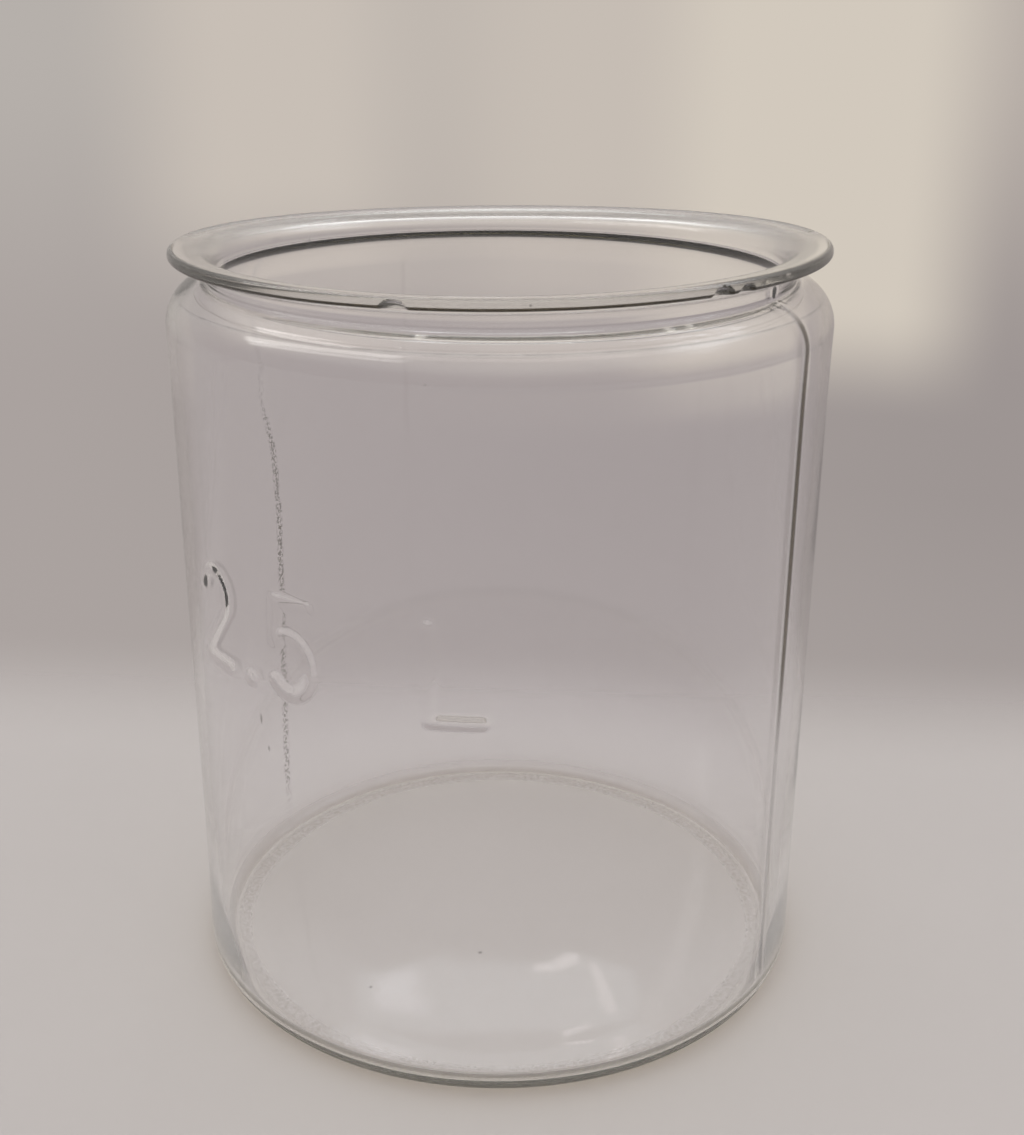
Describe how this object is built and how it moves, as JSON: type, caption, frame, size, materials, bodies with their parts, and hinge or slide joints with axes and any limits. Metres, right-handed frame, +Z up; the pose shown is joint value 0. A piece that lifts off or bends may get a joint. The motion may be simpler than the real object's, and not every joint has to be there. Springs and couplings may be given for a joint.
{
  "type": "gas jar",
  "caption": "Clear blown-glass jar with a straight round wall, a rounded shoulder, a short neck and a wide flared lip, open at the top.",
  "frame": {"origin": "middle of the foot, on the surface that the jar stands on", "axes": "+Z up the jar's axis to the open mouth; the two mould seams lie at +X and -X; -Y faces the half of the mould that the picture shows"},
  "size_m": [0.1504, 0.15, 0.177],
  "materials": {
    "jar_glass": "clear mould-blown soda-lime glass, slightly wavy, fire-polished at the lip"
  },
  "bodies": {
    "root": {"jar": "jar_glass"}
  },
  "joints": []
}
